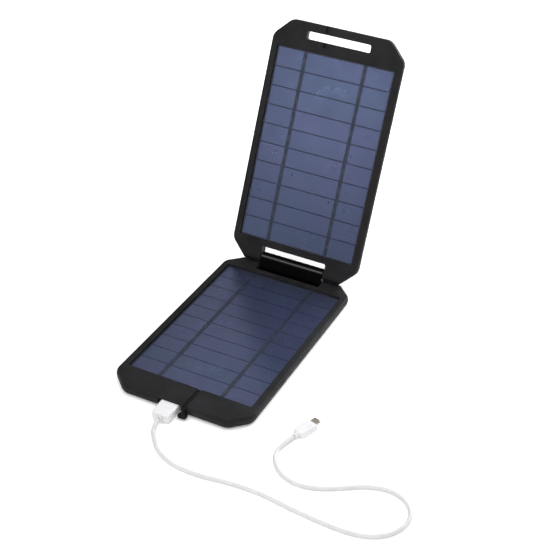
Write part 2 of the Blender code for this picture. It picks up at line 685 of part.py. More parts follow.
def build_cord(axis, material):
    """The white cord: a round tube that lies on the surface in a long loose loop."""
    start = axis.matrix_world.translation
    places = [Vector(place) * MM for place in cord_route()]
    points = [place - start for place in smooth_route(places, 6.5 * MM)]
    curve = bpy.data.curves.new("charging_cord", "CURVE")
    curve.dimensions = "3D"
    curve.bevel_depth = CORD_RADIUS
    curve.bevel_resolution = CORD_SIDES_RESOLUTION
    curve.use_fill_caps = True
    spline = curve.splines.new("POLY")
    spline.points.add(len(points) - 1)
    for knot, point in zip(spline.points, points):
        knot.co = (*point, 1.0)
    add_object("charging_cord", curve, axis, material)


# ---------------------------------------------------------------- assembly

def build_lower_half(axis, looks, screw):
    frame = build_frame("lower", axis, looks["frame"])
    cover = build_back_cover("lower", axis, looks["cover"])
    cut_port(frame, cover, axis)
    cut_bay(frame, cover, axis)
    groove_y = (FAR_END - 5 * MM, CELLS_FAR - 0.5 * MM)
    cut_groove(frame, "tether_groove", axis, GROOVE_X, groove_y, GROOVE_FLOOR)
    build_laminate("lower", axis, looks)
    build_screws("lower", axis, screw)
    build_pin("lower", axis, looks["steel"])
    build_washers("lower", axis, looks["washer"])
    build_socket(axis, looks)
    build_controller(axis, looks)
    build_tether(axis, looks["rubber"])


def build_upper_half(axis, looks, screw):
    frame = build_frame("upper", axis, looks["frame"])
    cover = build_back_cover("upper", axis, looks["cover"])
    cut_strap_slot(frame, "strap_slot_frame", axis, SLOT_HALF_LENGTH)
    cut_strap_slot(cover, "strap_slot_cover", axis, SLOT_HALF_LENGTH + SLOT_BACK_FLARE)
    outer_groove_y = (FAR_END - 5 * MM, SLOT_NEAR + GROOVE_STUB)
    cut_groove(frame, "outer_groove", axis, OUTER_GROOVE_X, outer_groove_y, OUTER_GROOVE_FLOOR)
    build_laminate("upper", axis, looks)
    build_screws("upper", axis, screw)
    build_pin("upper", axis, looks["steel"])
    build_washers("upper", axis, looks["washer"])


def make_looks():
    return {
        "frame": make_material("frame_plastic", (0.028, 0.028, 0.031), 0.62),
        "cover": make_material("cover_plastic", (0.022, 0.022, 0.025), 0.68),
        "cell": make_material("solar_cell", (0.075, 0.085, 0.17), 0.32),
        "board": make_material("panel_board", (0.012, 0.013, 0.018), 0.5),
        "ribbon": make_material("busbar_ribbon", (0.05, 0.065, 0.09), 0.4, 0.3),
        "sheet": make_material("clear_sheet", (0.5, 0.55, 0.7), 0.25),
        "steel": make_material("bright_steel", (0.62, 0.62, 0.63), 0.28, 1.0),
        "washer": make_material("nylon_washer", (0.05, 0.05, 0.05), 0.5),
        "rubber": make_material("black_rubber", (0.012, 0.012, 0.012), 0.8),
        "circuit": make_material("circuit_green", (0.02, 0.12, 0.05), 0.45),
        "ferrite": make_material("ferrite", (0.06, 0.06, 0.065), 0.7),
        "can": make_material("capacitor_can", (0.55, 0.56, 0.58), 0.35, 0.9),
        "tongue": make_material("tongue_plastic", (0.02, 0.02, 0.022), 0.45),
        "white": make_material("white_plastic", (0.82, 0.82, 0.83), 0.38),
        "cord": make_material("white_cord", (0.8, 0.8, 0.81), 0.42),
        "screw": make_material("black_screw", (0.08, 0.08, 0.085), 0.4, 0.9),
    }


def main():
    clear_scene()
    looks = make_looks()
    screw = screw_mesh()
    screw.materials.clear()
    screw.materials.append(looks["screw"])

    lower = add_axis("lower_pin_axis", Matrix.Translation(LOWER_PIN))
    link = add_axis("link_axis", Matrix.Rotation(-LINK_OPENING, 4, "X"), lower)
    swing = Matrix.Translation((0.0, 0.0, PIN_SPACING)) @ Matrix.Rotation(-UPPER_OPENING, 4, "X")
    upper = add_axis("upper_pin_axis", swing @ Matrix.Rotation(math.pi, 4, "Y"), link)
    bung = add_axis("bung_axis", Matrix.Translation((GROOVE_X, FAR_END + 0.6 * MM, 3.9 * MM)), lower)
    plug = add_axis("plug_axis", Matrix.Translation((PORT_X, RECESS_WALL - 0.4 * MM, 0.0)), lower)
    turn = Matrix.Rotation(DEVICE_TURN, 4, "Z")
    device = add_axis("device_plug_axis", Matrix.Translation(DEVICE_PLACE) @ turn)
    bpy.context.view_layer.update()

    build_lower_half(lower, looks, screw)
    build_upper_half(upper, looks, screw)
    build_link(link, looks["frame"])
    build_bung(bung, looks["rubber"])
    build_plug(plug, looks)
    build_device_plug(device, looks)
    build_cord(plug, looks["cord"])


main()
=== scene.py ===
"""Looks of the folding solar charger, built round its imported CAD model."""

import math

import bmesh
import bpy
from mathutils import Matrix, Vector


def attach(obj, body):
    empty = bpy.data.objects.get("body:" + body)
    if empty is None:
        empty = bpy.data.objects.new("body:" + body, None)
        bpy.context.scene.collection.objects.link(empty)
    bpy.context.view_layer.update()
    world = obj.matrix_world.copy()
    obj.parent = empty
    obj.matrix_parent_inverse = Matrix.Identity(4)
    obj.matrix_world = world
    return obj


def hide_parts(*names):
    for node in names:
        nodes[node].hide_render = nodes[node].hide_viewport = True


MM = 0.001

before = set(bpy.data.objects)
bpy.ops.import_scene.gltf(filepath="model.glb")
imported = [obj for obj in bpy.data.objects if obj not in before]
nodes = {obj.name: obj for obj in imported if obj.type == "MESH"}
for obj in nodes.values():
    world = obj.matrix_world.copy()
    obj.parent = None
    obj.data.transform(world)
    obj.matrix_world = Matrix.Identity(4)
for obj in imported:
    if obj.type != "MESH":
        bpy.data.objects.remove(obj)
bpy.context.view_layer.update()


# ---------------------------------------------------------------- sizes shared with the CAD model

# Each half has a panel space of its own, with its origin in the middle of its hinge pin: X runs along
# the pin, the half stretches away from it towards -Y, and its cells face +Z.

# Cells, and the outline round them
CELL_ROWS = 10
CELL_PITCH = 15.8 * MM
CELL_LENGTH = 100.0 * MM
HALF_WIDTH = 57.3 * MM
HALF_THICKNESS = 4.7 * MM
PIN_TO_CELLS = 16.1 * MM
CELLS_TO_END = 24.0 * MM
CELLS_FAR = -(PIN_TO_CELLS + CELL_ROWS * CELL_PITCH)
FAR_END = CELLS_FAR - CELLS_TO_END
CORNER_CUT = 14.5 * MM
CORNER_ROUND = 10.0 * MM
HINGE_OVERRUN = 5.0 * MM

# Rounded sides, widest a little above the middle
WIDEST_HEIGHT = 1.5 * MM
UPPER_INSET = 1.6 * MM
LOWER_INSET = 4.8 * MM

# Where a frame and its back cover meet
JOINT_LINE = -1.05 * MM
JOINT_GAP = 0.3 * MM
HINGE_BLOCK = 7.0 * MM
FIT_GAP = 0.3 * MM

# Hinge
PIN_SPACING = 9.8 * MM
PIN_BORE_RADIUS = 1.5 * MM
PIN_BORE_HALF_LENGTH = 40.6 * MM
KNUCKLE_RADIUS = 4.8 * MM
LINK_RADIUS = 4.65 * MM
LINK_HALF_LENGTH = 27.9 * MM
LINK_OPENING = math.radians(20.6)
UPPER_OPENING = math.radians(90.0)
NOTCH_HALF_LENGTH = 29.0 * MM
NOTCH_EDGE = PIN_TO_CELLS - 6.3 * MM
HINGE_STEP_HEIGHT = 4.35 * MM
HINGE_STEP_END = -3.0 * MM

# Window over the cells, and the ledge inside it
WINDOW_MARGIN = 1.3 * MM
WINDOW_ROUND = 1.0 * MM
LEDGE_WIDTH = 4.0 * MM
LEDGE_HEIGHT = 0.9 * MM

# Strap slot in the upper half
SLOT_HALF_LENGTH = 27.7 * MM
SLOT_BACK_FLARE = 1.5 * MM
SLOT_NEAR = CELLS_FAR - 10.3 * MM
SLOT_FAR = SLOT_NEAR - 6.5 * MM
SLOT_ROUND = 1.5 * MM

# Tether groove in the lower half, and the deeper one in the upper half's outer bar
GROOVE_X = 8.9 * MM
GROOVE_HALF_WIDTH = 1.7 * MM
GROOVE_FLOOR = 3.25 * MM
GROOVE_NEAR = CELLS_FAR - 0.5 * MM
OUTER_GROOVE_X = 10.6 * MM
OUTER_GROOVE_FLOOR = 2.2 * MM
GROOVE_STUB = 4.0 * MM
TETHER_THICKNESS = 0.7 * MM

# USB port, and the bay behind it
PORT_X = -3.2 * MM
RECESS_HALF_WIDTH = 9.7 * MM
RECESS_DEPTH = 4.9 * MM
RECESS_TOP = 3.65 * MM
RECESS_WALL = FAR_END + RECESS_DEPTH
SOCKET_HALF = (6.55 * MM, 2.85 * MM)
BAY_HALF_WIDTH = 32.0 * MM
BAY_NEAR = CELLS_FAR - 2.7 * MM
BAY_FAR = RECESS_WALL + 1.2 * MM
BAY_TOP = 3.05 * MM

# Screws, driven from the back
SCREW_X = 40.0 * MM
SCREW_NEAR_Y = -11.5 * MM
SCREW_FAR_Y = FAR_END + 10.5 * MM
SCREW_HEAD_RADIUS = 2.1 * MM
SCREW_SHANK_RADIUS = 0.8 * MM
SCREW_HEAD_LOW = -4.5 * MM
SCREW_HEAD_TOP = -3.3 * MM
SCREW_TIP = 2.0 * MM

# Cable
CORD_RADIUS = 1.55 * MM
GRIP_HALF = (7.2 * MM, 3.45 * MM)
GRIP_LENGTH = 18.7 * MM
COLLAR_LENGTH = 1.6 * MM
PLUG_SHELL_HALF = (6.0 * MM, 2.25 * MM)
PLUG_SHELL_LENGTH = 11.4 * MM
DEVICE_GRIP_HALF = (5.3 * MM, 2.4 * MM)
DEVICE_GRIP_LENGTH = 16.0 * MM
DEVICE_COLLAR_LENGTH = 3.5 * MM
DEVICE_PLACE = (93.6 * MM, -99.9 * MM, 2.45 * MM)
DEVICE_TURN = math.radians(-16.0)

# Spaces that the pieces are built in
LOWER_PIN = Vector((0.0, 63.85 * MM, HALF_THICKNESS))
LOWER_SPACE = Matrix.Translation(LOWER_PIN)
LINK_SPACE = LOWER_SPACE @ Matrix.Rotation(-LINK_OPENING, 4, "X")
UPPER_SPACE = (LINK_SPACE @ Matrix.Translation((0, 0, PIN_SPACING))
               @ Matrix.Rotation(-UPPER_OPENING, 4, "X") @ Matrix.Rotation(math.pi, 4, "Y"))
PANEL_SPACE = {"lower": LOWER_SPACE, "upper": UPPER_SPACE}
PLUG_SPACE = LOWER_SPACE @ Matrix.Translation((PORT_X, RECESS_WALL - 0.4 * MM, 0.0))
DEVICE_SPACE = Matrix.Translation(DEVICE_PLACE) @ Matrix.Rotation(DEVICE_TURN, 4, "Z")
BUNG_SPACE = LOWER_SPACE @ Matrix.Translation((GROOVE_X, FAR_END + 0.6 * MM, 3.9 * MM))

# Steps round curves, and the width of the soft edge on every moulded corner
SIDE_STEPS = 9
CORNER_STEPS = 9
KNUCKLE_STEPS = 32
LINK_STEPS = 24
EDGE_WIDTH = 0.35 * MM

# Cutters reach past a half's faces, sides and ends.
ABOVE = 8.0 * MM
BELOW = -ABOVE
BESIDE = 80.0 * MM
PAST_END = FAR_END - 5.0 * MM
PAST_HINGE = 20.0 * MM


# ---------------------------------------------------------------- mesh tools

def new_object(name, data):
    item = bpy.data.objects.new(name, data)
    bpy.context.scene.collection.objects.link(item)
    return item


def loft(name, rings):
    """A closed mesh through rings of points, with a flat face at each end."""
    shape = bmesh.new()
    loops = [[shape.verts.new(point) for point in ring] for ring in rings]
    count = len(loops[0])
    for lower, upper in zip(loops, loops[1:]):
        for i in range(count):
            j = (i + 1) % count
            shape.faces.new((lower[i], lower[j], upper[j], upper[i]))
    shape.faces.new(reversed(loops[0]))
    shape.faces.new(loops[-1])
    bmesh.ops.recalc_face_normals(shape, faces=shape.faces)
    mesh = bpy.data.meshes.new(name)
    shape.to_mesh(mesh)
    shape.free()
    mesh.shade_smooth()
    return mesh


def rounded_polygon(corners, radius, steps):
    """The outline of a convex polygon, its corners given anticlockwise, with an arc at each of them."""
    outline = []
    count = len(corners)
    for i, corner in enumerate(corners):
        corner = Vector(corner)
        to_last = (Vector(corners[i - 1]) - corner).normalized()
        to_next = (Vector(corners[(i + 1) % count]) - corner).normalized()
        half_angle = to_last.angle(to_next) / 2
        centre = corner + (to_last + to_next).normalized() * (radius / math.sin(half_angle))
        start = Vector((-to_last.y, to_last.x)) * radius
        sweep = math.pi - 2 * half_angle
        for step in range(steps + 1):
            outline.append(tuple(centre + Matrix.Rotation(sweep * step / steps, 2) @ start))
    return outline


def rounded_rectangle(half_x, half_y, radius, steps=6, centre=(0.0, 0.0)):
    cx, cy = centre
    corners = [(cx - half_x, cy - half_y), (cx + half_x, cy - half_y),
               (cx + half_x, cy + half_y), (cx - half_x, cy + half_y)]
    return rounded_polygon(corners, radius, steps)


def circle(radius, sides, centre=(0.0, 0.0)):
    return [(centre[0] + radius * math.cos(math.tau * i / sides),
             centre[1] + radius * math.sin(math.tau * i / sides)) for i in range(sides)]


def prism(name, outline, z_range):
    return loft(name, [[(x, y, z) for x, y in outline] for z in z_range])


def prism_along_x(name, profile, x_range):
    return loft(name, [[(x, y, z) for y, z in profile] for x in x_range])


def prism_along_y(name, profile, y_range):
    return loft(name, [[(x, y, z) for x, z in profile] for y in y_range])


def box_mesh(name, x_range, y_range, z_range):
    (x0, x1), (y0, y1) = x_range, y_range
    return prism(name, ((x0, y0), (x1, y0), (x1, y1), (x0, y1)), z_range)


def joined(name, parts, matrix):
    """One piece from several meshes, each with its own material."""
    shape = bmesh.new()
    for index, (mesh, _) in enumerate(parts):
        first = len(shape.faces)
        shape.from_mesh(mesh)
        shape.faces.ensure_lookup_table()
        for face in shape.faces[first:]:
            face.material_index = index
    mesh = bpy.data.meshes.new(name)
    shape.to_mesh(mesh)
    shape.free()
    for _, material in parts:
        mesh.materials.append(material)
    mesh.set_sharp_from_angle(angle=math.radians(35))
    mesh.transform(matrix)
    return new_object(name, mesh)


class Solid:
    """A body with the cuts that shape it, which ends as one mesh with softened edges."""

    def __init__(self, name, mesh):
        self.item = new_object(name, mesh)
        self.cutters = []

    def cut(self, mesh, operation="DIFFERENCE"):
        cutter = new_object("cutter", mesh)
        self.cutters.append(cutter)
        modifier = self.item.modifiers.new("cut", "BOOLEAN")
        modifier.operation = operation
        modifier.object = cutter
        modifier.solver = "EXACT"

    def cut_box(self, x_range, y_range, z_range):
        self.cut(box_mesh("cut", x_range, y_range, z_range))

    def cut_prism(self, outline, z_range):
        self.cut(prism("cut", outline, z_range))

    def bevel(self, width, segments=3, angle=35.0):
        modifier = self.item.modifiers.new("edges", "BEVEL")
        modifier.width = width
        modifier.segments = segments
        modifier.limit_method = "ANGLE"
        modifier.angle_limit = math.radians(angle)
        modifier.use_clamp_overlap = True
        modifier.miter_outer = "MITER_ARC"

    def bake(self):
        """Replaces the mesh with what its modifiers make of it."""
        graph = bpy.context.evaluated_depsgraph_get()
        mesh = bpy.data.meshes.new_from_object(self.item.evaluated_get(graph))
        self.item.modifiers.clear()
        self.item.data = mesh

    def done(self, matrix):
        """The finished object, with its normals weighted towards its large faces, put in its place."""
        bpy.context.view_layer.update()
        self.bake()
        for cutter in self.cutters:
            bpy.data.objects.remove(cutter, do_unlink=True)
        self.item.data.shade_smooth()
        self.item.data.set_sharp_from_angle(angle=math.radians(40))
        weighted = self.item.modifiers.new("normals", "WEIGHTED_NORMAL")
        weighted.keep_sharp = True
        weighted.weight = 100
        self.bake()
        self.item.data.transform(matrix)
        return self.item


# ---------------------------------------------------------------- frames and back covers

def half_outline(inset):
    """The outline of a half with its corners cut off at 45 degrees, drawn in by inset."""
    side = HALF_WIDTH - inset
    far = FAR_END + inset
    near = HALF_THICKNESS + HINGE_OVERRUN - inset
    shift = inset * math.tan(math.radians(22.5))
    far_cut = CORNER_CUT - inset + shift
    near_cut = CORNER_CUT + HINGE_OVERRUN - inset + shift
    corners = [(-side + far_cut, far), (side - far_cut, far), (side, far + far_cut),
               (side, near - near_cut), (side - near_cut, near), (-side + near_cut, near),
               (-side, near - near_cut), (-side, far + far_cut)]
    return rounded_polygon(corners, CORNER_ROUND - inset, CORNER_STEPS)


def half_body():
    """Frame and cover in one, with a quarter ellipse above and below the widest height."""
    rings = []
    for step in range(SIDE_STEPS + 1):
        turn = math.pi / 2 * step / SIDE_STEPS
        height = WIDEST_HEIGHT - (HALF_THICKNESS + WIDEST_HEIGHT) * math.cos(turn)
        rings.append((LOWER_INSET * (1 - math.sin(turn)), height))
    for step in range(1, SIDE_STEPS + 1):
        turn = math.pi / 2 * step / SIDE_STEPS
        height = WIDEST_HEIGHT + (HALF_THICKNESS - WIDEST_HEIGHT) * math.sin(turn)
        rings.append((UPPER_INSET * (1 - math.cos(turn)), height))
    return loft("body", [[(x, y, height) for x, y in half_outline(inset)] for inset, height in rings])


def hinge_end_mesh():
    """What a half keeps of its body: all of it up to the hinge, where its end is round about the pin."""
    over = HALF_THICKNESS + 0.5 * MM
    profile = [(PAST_END, -over), (0.0, -over)]
    for step in range(KNUCKLE_STEPS + 1):
        turn = math.pi * (step / KNUCKLE_STEPS - 0.5)
        profile.append((KNUCKLE_RADIUS * math.cos(turn), KNUCKLE_RADIUS * math.sin(turn)))
    profile += [(0.0, over), (PAST_END, over)]
    return prism_along_x("hinge_end", profile, (-BESIDE, BESIDE))


def screw_places():
    return [(x, y) for y in (SCREW_NEAR_Y, SCREW_FAR_Y) for x in (-SCREW_X, SCREW_X)]


def window_outline(margin):
    middle = (CELLS_FAR - PIN_TO_CELLS) / 2
    half_y = CELL_ROWS * CELL_PITCH / 2 + margin
    return rounded_rectangle(CELL_LENGTH / 2 + margin, half_y, WINDOW_ROUND, 4, (0.0, middle))


def cut_notch(solid):
    """The open notch that the hinge link turns in."""
    reach = 12 * MM
    outline = rounded_rectangle(NOTCH_HALF_LENGTH, reach, SLOT_ROUND, 6, (0.0, -NOTCH_EDGE + reach))
    solid.cut_prism(outline, (BELOW, ABOVE))


def cut_strap_slot(solid, half_length):
    half = (SLOT_NEAR - SLOT_FAR) / 2
    centre = (0.0, (SLOT_NEAR + SLOT_FAR) / 2)
    solid.cut_prism(rounded_rectangle(half_length, half, SLOT_ROUND, 6, centre), (BELOW, ABOVE))


def cut_groove(solid, x, near, floor):
    solid.cut_box((x - GROOVE_HALF_WIDTH, x + GROOVE_HALF_WIDTH), (PAST_END, near), (floor, ABOVE))


def cut_port(solid, top):
    """The recess in the end face, and the hole from it into the bay that the socket sits in."""
    x_range = (PORT_X - RECESS_HALF_WIDTH, PORT_X + RECESS_HALF_WIDTH)
    solid.cut_box(x_range, (PAST_END, RECESS_WALL), (BELOW, top))
    half_x = SOCKET_HALF[0] + FIT_GAP
    half_z = SOCKET_HALF[1] + FIT_GAP
    x_range = (PORT_X - half_x, PORT_X + half_x)
    solid.cut_box(x_range, (RECESS_WALL - 2 * MM, BAY_FAR + 1 * MM), (-half_z, half_z))


def build_frame(prefix):
    solid = Solid(prefix + "_frame_moulding", half_body())
    solid.cut(hinge_end_mesh(), "INTERSECT")
    solid.cut_box((-BESIDE, BESIDE), (PAST_END, -HINGE_BLOCK), (BELOW, JOINT_LINE + JOINT_GAP / 2))
    cut_notch(solid)
    solid.cut_prism(window_outline(WINDOW_MARGIN), (LEDGE_HEIGHT, ABOVE))
    solid.cut_prism(window_outline(WINDOW_MARGIN - LEDGE_WIDTH), (BELOW, ABOVE))
    solid.cut_box((-BESIDE, BESIDE), (-NOTCH_EDGE, HINGE_STEP_END), (HINGE_STEP_HEIGHT, ABOVE))
    span = (-PIN_BORE_HALF_LENGTH, PIN_BORE_HALF_LENGTH)
    solid.cut(prism_along_x("bore", circle(PIN_BORE_RADIUS, 32), span))
    if prefix == "lower":
        cut_port(solid, RECESS_TOP)
        solid.cut_box((-BAY_HALF_WIDTH, BAY_HALF_WIDTH), (BAY_FAR, BAY_NEAR), (BELOW, BAY_TOP))
        cut_groove(solid, GROOVE_X, GROOVE_NEAR, GROOVE_FLOOR)
    else:
        cut_strap_slot(solid, SLOT_HALF_LENGTH)
        cut_groove(solid, OUTER_GROOVE_X, SLOT_NEAR + GROOVE_STUB, OUTER_GROOVE_FLOOR)
    solid.bevel(EDGE_WIDTH)
    return solid.done(PANEL_SPACE[prefix])


def build_cover(prefix):
    solid = Solid(prefix + "_back_moulding", half_body())
    solid.cut_box((-BESIDE, BESIDE), (PAST_END, PAST_HINGE), (JOINT_LINE - JOINT_GAP / 2, ABOVE))
    solid.cut_box((-BESIDE, BESIDE), (-HINGE_BLOCK - JOINT_GAP, PAST_HINGE), (BELOW, ABOVE))
    cut_notch(solid)
    for place in screw_places():
        solid.cut_prism(circle(SCREW_HEAD_RADIUS + FIT_GAP, 32, place), (BELOW, SCREW_HEAD_TOP + FIT_GAP))
        solid.cut_prism(circle(SCREW_SHANK_RADIUS + FIT_GAP, 24, place), (-5 * MM, ABOVE))
    if prefix == "lower":
        cut_port(solid, ABOVE)
    else:
        cut_strap_slot(solid, SLOT_HALF_LENGTH + SLOT_BACK_FLARE)
    solid.bevel(EDGE_WIDTH * 0.8)
    return solid.done(PANEL_SPACE[prefix])


# ---------------------------------------------------------------- hinge link and screws

def build_link():
    """A bar of two half rounds and a flat between them, bored for both pins."""
    profile = []
    for centre, start in ((0.0, math.pi), (PIN_SPACING, 0.0)):
        for step in range(LINK_STEPS + 1):
            turn = start + math.pi * step / LINK_STEPS
            profile.append((LINK_RADIUS * math.cos(turn), centre + LINK_RADIUS * math.sin(turn)))
    solid = Solid("hinge_link_bar", prism_along_x("link", profile, (-LINK_HALF_LENGTH, LINK_HALF_LENGTH)))
    for height in (0.0, PIN_SPACING):
        bore = circle(PIN_BORE_RADIUS, 32, (0.0, height))
        solid.cut(prism_along_x("bore", bore, (-40 * MM, 40 * MM)))
    solid.bevel(0.5 * MM)
    return solid.done(LINK_SPACE)


def polish_shoulder(bar, material):
    """Gives the strip along the bar's upper front shoulder, which is rubbed smooth, its own gloss."""
    bar.data.materials.append(material)
    to_link = LINK_SPACE.inverted()
    for face in bar.data.polygons:
        x, y, z = to_link @ face.center
        turn = math.degrees(math.atan2(z - PIN_SPACING, -y))
        if 14.0 < turn < 32.0 and abs(x) < LINK_HALF_LENGTH / 2:
            face.material_index = 1


def build_screw(name, place, matrix):
    """A domed head with a cross recess, on a plain shank."""
    low = SCREW_HEAD_LOW
    profile = [(SCREW_HEAD_RADIUS * 0.30, low), (SCREW_HEAD_RADIUS * 0.62, low + 0.14 * MM),
               (SCREW_HEAD_RADIUS * 0.86, low + 0.38 * MM), (SCREW_HEAD_RADIUS, low + 0.55 * MM),
               (SCREW_HEAD_RADIUS, SCREW_HEAD_TOP), (SCREW_SHANK_RADIUS, SCREW_HEAD_TOP),
               (SCREW_SHANK_RADIUS, SCREW_TIP - 0.5 * MM), (SCREW_SHANK_RADIUS * 0.4, SCREW_TIP)]
    solid = Solid(name, loft("screw", [[(x, y, z) for x, y in circle(radius, 32)] for radius, z in profile]))
    arm = 1.25 * MM
    width = 0.28 * MM
    for half_x, half_y in ((arm, width), (width, arm)):
        solid.cut_box((-half_x, half_x), (-half_y, half_y), (low - 1 * MM, low + 0.75 * MM))
    solid.bevel(0.06 * MM, 2, 40.0)
    return solid.done(matrix @ Matrix.Translation((*place, 0.0)))


# ---------------------------------------------------------------- cable

def rings_along_y(name, sections, steps=8):
    """A solid through rounded rectangles: each section is how far back, half sizes and corner radius."""
    rings = []
    for back, half_x, half_z, radius in sections:
        radius = min(radius, 0.98 * min(half_x, half_z))
        outline = rounded_rectangle(half_x, half_z, radius, steps)
        rings.append([(x, -back, z) for x, z in outline])
    return loft(name, rings)


def grip_sections(half_size, rear_half_x, length):
    """A grip's body: a soft front edge, a slight waist, and shoulders that draw in at the rear."""
    half_x, half_z = half_size
    soft = 0.45 * MM
    corner = 1.15 * MM
    shoulder = 2.2 * MM
    sections = []
    for step in range(5):
        turn = math.pi / 2 * step / 4
        inset = soft * (1 - math.sin(turn))
        sections.append((soft * (1 - math.cos(turn)), half_x - inset, half_z - inset, corner))
    for step in range(1, 9):
        part = step / 8
        taper = (half_x - rear_half_x) * part ** 2
        sections.append((soft + (length - shoulder - soft) * part, half_x - taper, half_z, corner))
    for step in range(1, 6):
        turn = math.pi / 2 * step / 5
        pull = 1 - math.cos(turn)
        sections.append((length - shoulder + shoulder * math.sin(turn), rear_half_x - 1.7 * MM * pull,
                         half_z - 1.0 * MM * pull, corner))
    return sections


def collar_sections(start, collar_radius, length):
    """A collar whose ribs narrow down to the cord."""
    sections = []
    ribs = max(2, round(length / (0.8 * MM)))
    for rib in range(ribs):
        rib_start = start + length * rib / ribs
        rib_radius = collar_radius + (CORD_RADIUS + 0.3 * MM - collar_radius) * rib / ribs
        for part, shrink in ((0.05, 0.22), (0.2, 0.0), (0.7, 0.0), (0.85, 0.22)):
            radius = rib_radius - shrink * MM
            sections.append((rib_start + length / ribs * part, radius, radius, radius))
    end = CORD_RADIUS + 0.12 * MM
    sections.append((start + length, end, end, end))
    return sections


def build_grip(name, half_size, rear_half_x, length, collar, matrix):
    """A moulded grip, with its ribbed collar and a parting line along each side."""
    collar_radius, collar_length = collar
    sections = grip_sections(half_size, rear_half_x, length)
    sections += collar_sections(length, collar_radius, collar_length)
    solid = Solid(name, rings_along_y(name, sections))
    line = 0.07 * MM
    depth = 0.13 * MM
    for side in (-1, 1):
        outer = sorted((side * (half_size[0] - depth), side * (half_size[0] + 2 * MM)))
        solid.cut_box(outer, (-length + 3.5 * MM, -1.2 * MM), (-line, line))
    return solid.done(matrix)


def build_plug_shell():
    """The drawn metal shell, with its four latch windows and the seam along its underside."""
    half_x, half_z = PLUG_SHELL_HALF
    wall = 0.3 * MM
    start = FIT_GAP
    end = FIT_GAP + PLUG_SHELL_LENGTH
    outline = rounded_rectangle(half_x, half_z, 0.55 * MM, 6)
    inner = rounded_rectangle(half_x - wall, half_z - wall, 0.28 * MM, 6)
    solid = Solid("usb_plug_sheath", prism_along_y("shell", outline, (start, end)))
    solid.cut(prism_along_y("bore", inner, (start - MM, end + MM)))
    window_y = (5.2 * MM, 7.4 * MM)
    for side in (-1, 1):
        window_x = sorted((side * 1.6 * MM, side * 3.9 * MM))
        solid.cut_box(window_x, window_y, (half_z - 2 * wall, half_z + MM))
        solid.cut_box(window_x, window_y, (-half_z - MM, -half_z + 2 * wall))
    seam = 0.04 * MM
    solid.cut_box((-seam, seam), (start - MM, end + MM), (-half_z - MM, -half_z + wall / 2))
    solid.bevel(0.05 * MM, 2, 40.0)
    return solid.done(PLUG_SPACE)


def build_insulator(block, gold):
    """The plastic tongue inside the plug, with its four contact strips."""
    half_x = PLUG_SHELL_HALF[0] - 0.6 * MM
    end = FIT_GAP + PLUG_SHELL_LENGTH - 0.4 * MM
    outline = rounded_rectangle(half_x, 0.75 * MM, 0.15 * MM, 3, (0.0, -0.9 * MM))
    parts = [(prism_along_y("block", outline, (FIT_GAP, end)), block)]
    # The outer two strips reach further forward, so that they meet first.
    for x, short_of_end in ((-3.5, 0.6), (-1.0, 1.6), (1.0, 1.6), (3.5, 0.6)):
        outline = rounded_rectangle(0.5 * MM, 0.05 * MM, 0.03 * MM, 2, (x * MM, -0.12 * MM))
        strip = prism_along_y("strip", outline, (FIT_GAP + 2 * MM, end - short_of_end * MM))
        parts.append((strip, gold))
    return joined("plug_contact_block", parts, PLUG_SPACE)


def build_device_tip(steel, gold):
    """The thin rounded tip, with a row of contacts on each face."""
    sections = []
    for forward, inset in ((0.30, 0.0), (4.6, 0.0), (6.0, 0.12), (6.6, 0.35), (6.86, 0.75)):
        sections.append((-forward * MM, (3.35 - inset) * MM, (0.75 - inset * 0.35) * MM, 0.7 * MM))
    parts = [(rings_along_y("tip", sections), steel)]
    pads = 8
    pad_pitch = 0.66 * MM
    pad_half_width = 0.2 * MM
    for side in (-1, 1):
        z_range = sorted((side * 0.74 * MM, side * 0.79 * MM))
        for i in range(pads):
            x = (i - (pads - 1) / 2) * pad_pitch
            pad = box_mesh("pad", (x - pad_half_width, x + pad_half_width), (3.2 * MM, 4.9 * MM), z_range)
            parts.append((pad, gold))
    return joined("device_tip", parts, DEVICE_SPACE)


def cord_route():
    """Places that the cord runs through, from the USB plug's collar to the device plug's."""
    places = [(-3.2, -150.7, 4.7), (-3.0, -153.6, 4.25), (-2.2, -157.6, 3.2), (-0.2, -162.6, 1.9),
              (8.7, -173.6, 1.65), (18.5, -180.5, 1.65), (32.3, -184.7, 1.65), (50.3, -184.7, 1.65),
              (70.0, -181.9, 1.65), (92.0, -181.2, 1.65), (115.9, -184.2, 1.65), (139.4, -186.3, 1.65),
              (158.8, -186.3, 1.65), (173.5, -182.1, 1.65), (184.1, -173.0, 1.65), (188.9, -160.0, 1.65),
              (186.7, -148.5, 1.65), (178.0, -139.9, 1.65), (165.3, -137.2, 1.65), (150.9, -141.8, 1.65),
              (136.7, -151.1, 1.65), (122.5, -158.8, 1.65), (108.3, -161.1, 1.65), (95.5, -156.4, 1.65),
              (86.9, -146.8, 1.65), (84.0, -136.0, 1.65), (86.0, -125.4, 2.1), (88.0, -119.3, 2.45)]
    return [Vector(place) * MM for place in places]


def smooth_route(points, steps):
    """A Catmull-Rom curve through the points, with so many steps from each to the next."""
    padded = [2 * points[0] - points[1]] + points + [2 * points[-1] - points[-2]]
    fine = []
    for a, b, c, d in zip(padded, padded[1:], padded[2:], padded[3:]):
        for step in range(steps):
            t = step / steps
            fine.append(0.5 * (2 * b + (c - a) * t + (2 * a - 5 * b + 4 * c - d) * t ** 2
                               + (3 * b - a - 3 * c + d) * t ** 3))
    fine.append(points[-1])
    return fine


